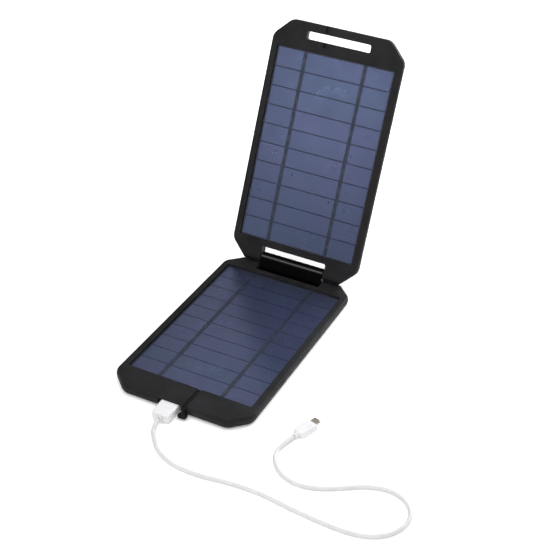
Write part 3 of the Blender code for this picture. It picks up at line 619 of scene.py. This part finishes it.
def build_cord():
    """The cord as a round tube, with its length and the place where it leaves the USB plug."""
    points = smooth_route(cord_route(), 8)
    curve = bpy.data.curves.new("cable_cord", "CURVE")
    curve.dimensions = "3D"
    curve.bevel_depth = CORD_RADIUS
    curve.bevel_resolution = 6
    curve.use_fill_caps = True
    spline = curve.splines.new("POLY")
    spline.points.add(len(points) - 1)
    for knot, point in zip(spline.points, points):
        knot.co = (*point, 1.0)
    length = sum((b - a).length for a, b in zip(points, points[1:]))
    return new_object("cable_cord", curve), length, points[0]


# ---------------------------------------------------------------- rubber bung and its tether

def bung_ring(place, heading, half_width, half_depth):
    """A rounded outline across the bung's middle line, which lies in the YZ plane."""
    across = Vector((0.0, -heading.z, heading.y))
    outline = rounded_rectangle(half_width, half_depth, min(half_width, half_depth) * 0.8, 6)
    return [tuple(place + Vector((x, 0.0, 0.0)) + across * depth) for x, depth in outline]


def build_bung():
    """Rubber bung: a neck that bends down over the front edge, a stem, and a domed flange at the foot."""
    rings = []
    bend = 3.0 * MM
    bend_steps = 12
    for step in range(bend_steps + 1):
        turn = math.radians(5.0 + 85.0 * step / bend_steps)
        place = Vector((0.0, -bend * math.sin(turn), -bend * (1 - math.cos(turn))))
        rings.append(bung_ring(place, Vector((0.0, -math.cos(turn), -math.sin(turn))), 1.3 * MM, 0.45 * MM))
    # Down the stem and the flange: height, half width and half depth, in millimetres
    sections = ((-3.25, 1.6, 0.8), (-3.5, 2.0, 1.2), (-3.75, 2.3, 1.55), (-4.1, 2.55, 1.85),
                (-4.45, 2.68, 1.98), (-4.65, 2.9, 2.2), (-4.8, 3.3, 2.6), (-5.0, 3.5, 2.8),
                (-5.3, 3.6, 2.9), (-5.8, 3.6, 2.9), (-6.2, 3.55, 2.85), (-6.45, 3.4, 2.7),
                (-6.6, 3.2, 2.5), (-6.7, 2.8, 2.1))
    for height, half_width, half_depth in sections:
        place = Vector((0.0, -bend - 0.4 * MM, height * MM))
        rings.append(bung_ring(place, Vector((0.0, 0.0, -1.0)), half_width * MM, half_depth * MM))
    mesh = loft("bung_moulding", rings)
    mesh.set_sharp_from_angle(angle=math.radians(50))
    mesh.transform(BUNG_SPACE)
    return new_object("bung_moulding", mesh)


def build_strap():
    """The bung's flat rubber tether, with softened edges."""
    half = GROOVE_HALF_WIDTH - FIT_GAP
    y_range = (FAR_END + 1.0 * MM, GROOVE_NEAR - 1.1 * MM)
    z_range = (GROOVE_FLOOR + FIT_GAP, GROOVE_FLOOR + FIT_GAP + TETHER_THICKNESS)
    solid = Solid("tether_strap", box_mesh("strap", (GROOVE_X - half, GROOVE_X + half), y_range, z_range))
    solid.bevel(0.22 * MM, 3)
    return solid.done(LOWER_SPACE)


# ---------------------------------------------------------------- materials

class Look:
    """A node material: its Principled shader, and the few kinds of node that the looks are made from."""

    def __init__(self, name):
        self.material = bpy.data.materials.new(name)
        self.material.use_nodes = True
        self.tree = self.material.node_tree
        self.shader = self.tree.nodes["Principled BSDF"]
        self.place = self.node("ShaderNodeTexCoord").outputs["Object"]

    def node(self, kind, **settings):
        node = self.tree.nodes.new(kind)
        for key, value in settings.items():
            setattr(node, key, value)
        return node

    def link(self, source, target):
        self.tree.links.new(source, target)

    def set(self, **values):
        """Constants for the shader's sockets, whose names have _ for a space."""
        for key, value in values.items():
            socket = self.shader.inputs[key.replace("_", " ")]
            socket.default_value = (*value, 1.0) if isinstance(value, tuple) else value

    def feed(self, socket, source):
        self.link(source, self.shader.inputs[socket])

    def stretched(self, scale, turn=(0, 0, 0), shift=(0, 0, 0), source=None):
        """Coordinates scaled, turned and shifted, from the object's own or from others."""
        node = self.node("ShaderNodeMapping")
        node.inputs["Location"].default_value = shift
        node.inputs["Rotation"].default_value = turn
        node.inputs["Scale"].default_value = scale
        self.link(source or self.place, node.inputs["Vector"])
        return node.outputs["Vector"]

    def noise(self, size, detail=2.0, source=None):
        """Noise whose features are about size across, in metres."""
        node = self.node("ShaderNodeTexNoise")
        node.inputs["Scale"].default_value = 1.0 / size
        node.inputs["Detail"].default_value = detail
        self.link(source or self.place, node.inputs["Vector"])
        return node.outputs["Fac"]

    def drift(self, size, detail, to_low=0.0, to_high=1.0, source=None):
        """A value that wanders between two others over distances of about size."""
        return self.span(self.noise(size, detail, source), 0.3, 0.7, to_low, to_high)

    def grains(self, size):
        """Distance from the middle of the nearest grain, with grains about size across."""
        node = self.node("ShaderNodeTexVoronoi", feature="F1")
        node.inputs["Scale"].default_value = 1.0 / size
        self.link(self.place, node.inputs["Vector"])
        return node.outputs["Distance"]

    def span(self, value, low, high, to_low=0.0, to_high=1.0, smooth=False):
        """The value, moved from one range to another and held inside it."""
        node = self.node("ShaderNodeMapRange", interpolation_type="SMOOTHSTEP" if smooth else "LINEAR")
        for name, number in (("From Min", low), ("From Max", high), ("To Min", to_low), ("To Max", to_high)):
            node.inputs[name].default_value = number
        self.link(value, node.inputs["Value"])
        return node.outputs["Result"]

    def math(self, operation, a, b=None):
        """One sum, on numbers or on other nodes' outputs."""
        node = self.node("ShaderNodeMath", operation=operation)
        for i, value in enumerate((a, b)):
            if value is None:
                continue
            if isinstance(value, (int, float)):
                node.inputs[i].default_value = value
            else:
                self.link(value, node.inputs[i])
        return node.outputs["Value"]

    def distance(self, value, middle):
        """How far a value is from its middle, on either side."""
        return self.math("ABSOLUTE", self.math("SUBTRACT", value, middle))

    def mix(self, factor, a, b, blend="MIX"):
        """A colour between a, where the factor is 0, and b, where it is 1."""
        node = self.node("ShaderNodeMix", data_type="RGBA", blend_type=blend)
        for i, value in ((0, factor), (6, a), (7, b)):
            if isinstance(value, (int, float)):
                node.inputs[i].default_value = value
            elif isinstance(value, tuple):
                node.inputs[i].default_value = (*value, 1.0)
            else:
                self.link(value, node.inputs[i])
        return node.outputs[2]

    def darker(self, colour, part):
        """A colour source times a grey."""
        return self.mix(1.0, colour, (part,) * 3, "MULTIPLY")

    def bump(self, height, distance, strength):
        """Relief on the surface: a height of 1 stands this distance out, in metres."""
        node = self.node("ShaderNodeBump")
        node.inputs["Strength"].default_value = strength
        node.inputs["Distance"].default_value = distance
        self.link(height, node.inputs["Height"])
        self.feed("Normal", node.outputs["Normal"])

    def parts(self, vector):
        node = self.node("ShaderNodeSeparateXYZ")
        self.link(vector, node.inputs["Vector"])
        return node.outputs["X"], node.outputs["Y"], node.outputs["Z"]

    def panel_place(self, prefix):
        """Coordinates in a half's own panel space, which hold for it at any pose."""
        inverse = PANEL_SPACE[prefix].inverted()
        return self.stretched((1, 1, 1), tuple(inverse.to_euler()), tuple(inverse.translation))

    def edge(self, radius):
        """1 along convex edges and corners, 0 on flats."""
        bevel = self.node("ShaderNodeBevel", samples=4)
        bevel.inputs["Radius"].default_value = radius
        dot = self.node("ShaderNodeVectorMath", operation="DOT_PRODUCT")
        self.link(bevel.outputs["Normal"], dot.inputs[0])
        self.link(self.node("ShaderNodeNewGeometry").outputs["Normal"], dot.inputs[1])
        return self.span(dot.outputs["Value"], 1.0, 0.92)


def moulded_plastic(name, colour, roughness, grain=0.00022, ior=1.24, wear=1.0):
    """Moulded plastic with a fine spark-eroded grain, and edges that are faintly rubbed."""
    look = Look(name)
    dark = tuple(channel * 0.72 for channel in colour)
    light = tuple(channel * 1.35 for channel in colour)
    cloud = look.noise(0.018, 4.0)
    base = look.mix(look.span(cloud, 0.32, 0.68), dark, light)
    rubbed = look.span(look.noise(0.0016, 3.0), 0.52, 0.7)
    worn = look.math("MULTIPLY", look.edge(0.0004), look.span(rubbed, 0, 1, 0.15 * wear, 0.75 * wear))
    look.feed("Base Color", look.mix(worn, base, tuple(channel * 3.2 + 0.008 for channel in colour)))
    satin = look.drift(0.006, 5.0, roughness - 0.07, roughness + 0.07)
    look.feed("Roughness", look.math("SUBTRACT", satin, look.math("MULTIPLY", worn, 0.12)))
    height = look.math("ADD", look.grains(grain), look.math("MULTIPLY", look.noise(grain * 2.5, 2.0), 0.8))
    look.bump(height, 0.00003, 0.55)
    look.set(IOR=ior)
    return look.material


CELL_VIOLET = (0.078, 0.088, 0.178)
CELL_BLUE = (0.064, 0.090, 0.162)
FINGER_TINT = (0.16, 0.18, 0.24)
BARE_BOARD = (0.010, 0.013, 0.026)
FINGERS_PER_STRIP = 8.0
HATCH_PITCH = 0.00085
# Where each half's run of tones starts, so that the two halves differ
TONE_START = {"lower": 31.6, "upper": 7.3}


def diagonal_hatch(look, place):
    """The film's fine diagonal grain, from 0 to 1, which runs at 45 degrees to the strips."""
    across, _, _ = look.parts(look.stretched((1, 1, 1), (0, 0, math.radians(-45)), source=place))
    wave = look.math("SINE", look.math("MULTIPLY", across, math.tau / HATCH_PITCH))
    return look.span(wave, -1.0, 1.0)


def silicon_colour(look, place, number, prefix):
    """A blue that differs from strip to strip, with large crystals and the hatch seen through the film."""
    white = look.node("ShaderNodeTexWhiteNoise", noise_dimensions="1D")
    look.link(look.math("ADD", number, TONE_START[prefix]), white.inputs["W"])
    cloud = look.span(look.noise(0.045, 3.0, place), 0.35, 0.65)
    strip_tone = look.math("MULTIPLY", white.outputs["Value"], 0.45)
    hue = look.math("ADD", strip_tone, look.math("MULTIPLY", cloud, 0.55))
    colour = look.mix(hue, CELL_VIOLET, CELL_BLUE)
    crystal = look.drift(0.006, 1.0, source=look.stretched((1, 1.6, 1), source=place))
    colour = look.mix(crystal, colour, look.darker(colour, 0.92))
    return look.mix(diagonal_hatch(look, place), look.darker(colour, 0.93), colour)


def cell_silicon(prefix):
    """Blue coated silicon in strips: fine contact fingers, bare edges, and a hue that drifts."""
    look = Look("cell_silicon_" + prefix)
    place = look.panel_place(prefix)
    x, y, _ = look.parts(place)
    row = look.math("DIVIDE", look.math("ADD", y, PIN_TO_CELLS), -CELL_PITCH)
    number = look.math("FLOOR", row)
    along = look.math("SUBTRACT", row, number)
    silicon = silicon_colour(look, place, number, prefix)
    # Contact fingers stand across each strip.
    finger = look.math("FRACT", look.math("MULTIPLY", along, FINGERS_PER_STRIP))
    finger = look.span(look.distance(finger, 0.5), 0.045, 0.02, smooth=True)
    silicon = look.mix(look.math("MULTIPLY", finger, 0.35), silicon, FINGER_TINT)
    # Bare margins run between the strips and along their ends, but not outside the first and last strip.
    from_edge = look.math("SUBTRACT", 0.5, look.distance(along, 0.5))
    margin = look.span(from_edge, 0.024, 0.040, 1.0, 0.0, True)
    from_rows = look.math("SUBTRACT", CELL_ROWS / 2, look.distance(row, CELL_ROWS / 2))
    inner = look.span(from_rows, 0.03, 0.05)
    from_end = look.math("SUBTRACT", CELL_LENGTH / 2, look.math("ABSOLUTE", x))
    end = look.span(from_end, 0.0001, 0.0003, 1.0, 0.0, True)
    bare = look.math("MAXIMUM", look.math("MULTIPLY", margin, inner), end)
    look.feed("Base Color", look.mix(look.math("MULTIPLY", bare, 0.9), silicon, BARE_BOARD))
    look.feed("Roughness", look.drift(0.012, 3.0, 0.27, 0.33, place))
    look.bump(look.noise(0.006, 1.0, place), 0.00002, 0.3)
    look.set(Metallic=0.95, IOR=1.45)
    return look.material


def ribbon_metal(prefix):
    """Tinned ribbon under the film, painted dark to stand for the dark surroundings it reflects, with solder
    joints where it crosses each strip.
    """
    look = Look("ribbon_metal_" + prefix)
    place = look.panel_place(prefix)
    brushed = look.noise(0.0004, 3.0, look.stretched((6, 0.35, 1), source=place))
    # Painted reflection: the ribbon's base colour is kept near black in place of the dark surroundings that
    # the bright metal mirrors.
    base = look.mix(look.span(brushed, 0.3, 0.7), (0.014, 0.018, 0.030), (0.026, 0.031, 0.048))
    _, y, _ = look.parts(place)
    row = look.math("FRACT", look.math("DIVIDE", look.math("ADD", y, PIN_TO_CELLS), -CELL_PITCH))
    joint = look.span(look.distance(row, 0.5), 0.10, 0.16, 1.0, 0.0, True)
    blotch = look.span(look.noise(0.0011, 3.0, place), 0.42, 0.6)
    soldered = look.math("MULTIPLY", joint, blotch)
    look.feed("Base Color", look.mix(soldered, base, (0.042, 0.048, 0.064)))
    look.feed("Roughness", look.span(brushed, 0.3, 0.7, 0.32, 0.5))
    look.bump(look.math("ADD", brushed, look.math("MULTIPLY", joint, 2.0)), 0.00003, 0.4)
    look.set(Metallic=0.8)
    return look.material


def textured_film(prefix):
    """Clear cover film with a fine diagonal grain, a faint haze and a few handling marks."""
    look = Look("cover_film_" + prefix)
    place = look.panel_place(prefix)
    haze = look.mix(look.drift(0.03, 3.0, source=place), (0.10, 0.12, 0.20), (0.14, 0.16, 0.25))
    look.feed("Base Color", haze)
    marks = look.drift(0.008, 4.0, 0.22, 0.32, place)
    hatch = look.math("MULTIPLY", diagonal_hatch(look, place), 0.05)
    look.feed("Roughness", look.math("ADD", marks, hatch))
    look.bump(look.noise(0.005, 2.0, place), 0.00002, 0.2)
    look.set(Alpha=0.06, IOR=1.5)
    return look.material


def laminate_board():
    """Dark glass-fibre board behind the cells."""
    look = Look("laminate_board")
    fibre = look.noise(0.0005, 2.0, look.stretched((1, 5, 1)))
    base = look.mix(look.span(fibre, 0.3, 0.7), (0.004, 0.0045, 0.007), (0.010, 0.011, 0.016))
    look.feed("Base Color", base)
    look.feed("Roughness", look.drift(0.004, 3.0, 0.42, 0.58))
    look.bump(fibre, 0.00003, 0.4)
    return look.material


def bright_metal(name, colour, roughness, grain=(1, 14, 14)):
    """Brushed metal, slightly stained, whose grain is finer along the axes with a higher number."""
    look = Look(name)
    brushed = look.noise(0.0012, 4.0, look.stretched(grain))
    dull = tuple(channel * 0.8 for channel in colour)
    stained = look.span(look.noise(0.003, 3.0), 0.45, 0.75)
    base = look.mix(look.span(brushed, 0.25, 0.75), dull, colour)
    stain = tuple(channel * 0.55 for channel in colour)
    look.feed("Base Color", look.mix(look.math("MULTIPLY", stained, 0.35), base, stain))
    look.feed("Roughness", look.span(brushed, 0.25, 0.75, roughness - 0.06, roughness + 0.1))
    look.bump(brushed, 0.00001, 0.4)
    look.set(Metallic=1.0)
    return look.material


def soft_rubber():
    """Black rubber with a fine dull grain."""
    look = Look("soft_rubber")
    look.feed("Base Color", look.mix(look.drift(0.002, 4.0), (0.003, 0.003, 0.0034), (0.008, 0.008, 0.0086)))
    look.feed("Roughness", look.drift(0.0008, 3.0, 0.62, 0.82))
    look.bump(look.grains(0.00018), 0.00002, 0.5)
    look.set(IOR=1.2)
    return look.material


def white_moulding(name, roughness, grain, tone):
    """White thermoplastic with a faint orange-peel, handling marks and a little warmth in its depth."""
    look = Look(name)
    deep = (tone, tone, tone + 0.01)
    pale = (tone + 0.05, tone + 0.05, tone + 0.06)
    base = look.mix(look.drift(0.007, 3.0), deep, pale)
    marks = look.span(look.noise(0.0022, 5.0), 0.60, 0.78)
    marked = (tone * 0.86, tone * 0.85, tone * 0.83)
    look.feed("Base Color", look.mix(look.math("MULTIPLY", marks, 0.3), base, marked))
    look.feed("Roughness", look.drift(0.003, 4.0, roughness - 0.06, roughness + 0.08))
    look.bump(look.noise(grain, 3.0), 0.00003, 0.35)
    look.set(IOR=1.47, Subsurface_Weight=0.06, Subsurface_Scale=0.001)
    return look.material


def circuit_board():
    """Green solder mask, with paler tracks that stand a little proud."""
    look = Look("circuit_mask")
    place = look.stretched((1, 1, 1))
    brick = look.node("ShaderNodeTexBrick")
    look.link(place, brick.inputs["Vector"])
    brick.inputs["Scale"].default_value = 320.0
    brick.inputs["Mortar Size"].default_value = 0.03
    brick.inputs["Color1"].default_value = (0.012, 0.085, 0.035, 1)
    brick.inputs["Color2"].default_value = (0.018, 0.105, 0.045, 1)
    brick.inputs["Mortar"].default_value = (0.03, 0.17, 0.07, 1)
    look.feed("Base Color", brick.outputs["Color"])
    look.feed("Roughness", look.drift(0.002, 3.0, 0.28, 0.42))
    look.bump(brick.outputs["Fac"], 0.00004, 0.6)
    return look.material


# ---------------------------------------------------------------- pieces, and what they stand for

def dressed_nodes():
    """Every CAD node that is shown as it is, with its look."""
    steel = bright_metal("nickel_steel", (0.62, 0.62, 0.60), 0.26)
    board = laminate_board()
    nylon = moulded_plastic("nylon", (0.03, 0.03, 0.03), 0.5, 0.0003)
    looks = {
        "usb_socket_shell": steel,
        "usb_socket_tongue": moulded_plastic("contact_block", (0.012, 0.012, 0.013), 0.42, 0.0003),
        "controller_board": circuit_board(),
        "power_inductor": moulded_plastic("ferrite", (0.05, 0.05, 0.055), 0.66, 0.0004),
        "output_capacitor": bright_metal("drawn_can", (0.55, 0.56, 0.58), 0.3, (1, 1, 9)),
    }
    for prefix in PANEL_SPACE:
        looks[prefix + "_panel_board"] = board
        looks[prefix + "_cover_sheet"] = textured_film(prefix)
        looks[prefix + "_hinge_pin"] = steel
        silicon = cell_silicon(prefix)
        for number in range(1, CELL_ROWS + 1):
            looks[f"{prefix}_cell_{number}"] = silicon
        ribbon = ribbon_metal(prefix)
        for side in ("left", "right"):
            looks[f"{prefix}_busbar_{side}"] = ribbon
            looks[f"{prefix}_washer_{side}"] = nylon
    return looks


def paint(item, material):
    item.data.materials.clear()
    item.data.materials.append(material)


def place_piece(piece, body, slot, *replaced):
    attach(piece, body)
    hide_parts(*replaced)


def dress(piece, material, body, slot, *replaced):
    paint(piece, material)
    place_piece(piece, body, slot, *replaced)


def add_halves():
    frame_plastic = moulded_plastic("frame_moulding", (0.0098, 0.0098, 0.0107), 0.58, ior=1.22)
    back_plastic = moulded_plastic("back_moulding", (0.0080, 0.0080, 0.0088), 0.62, 0.0003)
    screw_metal = bright_metal("black_oxide", (0.10, 0.10, 0.105), 0.36)
    for prefix, matrix in PANEL_SPACE.items():
        body = prefix + "_half"
        dress(build_frame(prefix), frame_plastic, body, "frame_plastic", prefix + "_frame")
        dress(build_cover(prefix), back_plastic, body, "cover_plastic", prefix + "_back_cover")
        for number, place in enumerate(screw_places(), 1):
            screw = build_screw(f"{prefix}_cross_screw_{number}", place, matrix)
            dress(screw, screw_metal, body, "black_screw", f"{prefix}_screw_{number}")


def add_link():
    bar = build_link()
    # Painted shade: the link is the same black plastic as the frames, but its colour is set far darker to
    # stand for the shade it sits in between the halves. Its shoulder strip below is painted just as dark.
    link_shade_plastic = moulded_plastic("link_painted_shade", (0.0006, 0.0006, 0.0008), 0.20, 0.0003, 1.12, 0.2)
    dress(bar, link_shade_plastic, "hinge_link", "frame_plastic", "hinge_link")
    polish_shoulder(bar, moulded_plastic("link_shoulder_painted_shade", (0.0008, 0.0008, 0.0010), 0.22, 0.0003, 1.48, 0.2))


def add_bung():
    rubber = soft_rubber()
    dress(build_bung(), rubber, "port_bung", "black_rubber", "port_bung")
    dress(build_strap(), rubber, "lower_half", "black_rubber", "bung_tether")


def add_cable():
    body = "charging_cable"
    white = white_moulding("white_plastic", 0.3, 0.0012, 0.58)
    steel = bright_metal("plug_nickel", (0.62, 0.62, 0.60), 0.26)
    gold = bright_metal("contact_gold", (0.75, 0.52, 0.22), 0.3)
    block = moulded_plastic("plug_block", (0.6, 0.6, 0.6), 0.4, 0.0003, 1.45)
    usb = build_grip("usb_plug_moulding", GRIP_HALF, GRIP_HALF[0] - 0.15 * MM, GRIP_LENGTH,
                     (2.2 * MM, COLLAR_LENGTH), PLUG_SPACE)
    device = build_grip("device_plug_moulding", DEVICE_GRIP_HALF, DEVICE_GRIP_HALF[0] - 0.7 * MM,
                        DEVICE_GRIP_LENGTH, (2.1 * MM, DEVICE_COLLAR_LENGTH), DEVICE_SPACE)
    shell = build_plug_shell()
    contacts = build_insulator(block, gold)
    tip = build_device_tip(steel, gold)
    dress(usb, white, body, "white_plastic", "usb_plug_grip")
    dress(device, white, body, "white_plastic", "device_plug_grip")
    dress(shell, steel, body, "bright_steel", "usb_plug_shell")
    place_piece(contacts, body, "tongue_plastic", "usb_plug_insulator")
    place_piece(tip, body, "bright_steel", "device_plug_tip")
    cord, length, start = build_cord()
    dress(cord, white_moulding("cord_jacket", 0.42, 0.0008, 0.50), body, "white_cord", "charging_cord")


# ---------------------------------------------------------------- camera, floor and lights

CAMERA_PLACE = Vector((339.91, -735.51, 568.15)) * MM
CAMERA_TARGET = Vector((-9.79, 64.19, -2.05)) * MM
CAMERA_ROLL = math.radians(3.49)
CAMERA_LENS = 79.30

FLOOR_SIZE = 12.0
FLOOR_GLOW = 0.12
SKY_STRENGTH = 0.42

# Name, place, target, size and power
LIGHTS = (
    ("overhead", (0.0, -0.7, 2.2), (0, 0.0, 0), (3.2, 3.0), 68),
    ("fill", (0.95, -1.9, 0.75), (0, 0.1, 0.1), (1.2, 0.8), 7),
    ("front", (-0.52, -1.33, 0.58), (0, 0.1, 0.12), (0.22, 0.42), 1.25),
    ("back", (-0.64, 1.20, 1.20), (0, -0.05, 0.0), (0.20, 0.44), 0.42),
    ("behind", (0.30, 0.75, 0.40), (0, 0.10, 0.0), (0.40, 0.14), 8),
)


def add_camera():
    back = (CAMERA_PLACE - CAMERA_TARGET).normalized()
    right = Vector((0, 0, 1)).cross(back).normalized()
    up = back.cross(right)
    turned_right = right * math.cos(CAMERA_ROLL) + up * math.sin(CAMERA_ROLL)
    turned_up = up * math.cos(CAMERA_ROLL) - right * math.sin(CAMERA_ROLL)
    data = bpy.data.cameras.new("camera")
    data.sensor_width = 36.0
    data.lens = CAMERA_LENS
    data.clip_start = 0.05
    data.clip_end = 20.0
    camera = new_object("camera", data)
    turn = Matrix((turned_right, turned_up, back)).transposed().to_4x4()
    camera.matrix_world = Matrix.Translation(CAMERA_PLACE) @ turn
    bpy.context.scene.camera = camera


def add_light(name, place, target, size, power):
    data = bpy.data.lights.new(name, "AREA")
    data.shape = "RECTANGLE"
    data.size, data.size_y = size
    data.energy = power
    light = new_object(name, data)
    light.location = place
    light.rotation_euler = (Vector(target) - Vector(place)).to_track_quat("-Z", "Y").to_euler()


def add_stage():
    """A plain white floor under an even white sky, and the lights."""
    bpy.ops.mesh.primitive_plane_add(size=FLOOR_SIZE, location=(0, 0, 0))
    floor = bpy.context.object
    floor.name = "floor"
    look = Look("floor")
    look.set(Roughness=0.6, Emission_Color=(1.0, 1.0, 1.0), Emission_Strength=FLOOR_GLOW)
    look.feed("Base Color", look.mix(look.noise(0.05), (0.95, 0.95, 0.95), (0.96, 0.96, 0.96)))
    floor.data.materials.append(look.material)
    world = bpy.data.worlds.new("world")
    world.use_nodes = True
    sky = world.node_tree.nodes["Background"]
    sky.inputs["Color"].default_value = (1, 1, 1, 1)
    sky.inputs["Strength"].default_value = SKY_STRENGTH
    bpy.context.scene.world = world
    bpy.context.scene.view_settings.view_transform = "Standard"
    for light in LIGHTS:
        add_light(*light)


def main():
    add_camera()
    add_stage()
    add_halves()
    add_link()
    for name, material in dressed_nodes().items():
        paint(nodes[name], material)
    add_bung()
    add_cable()


main()
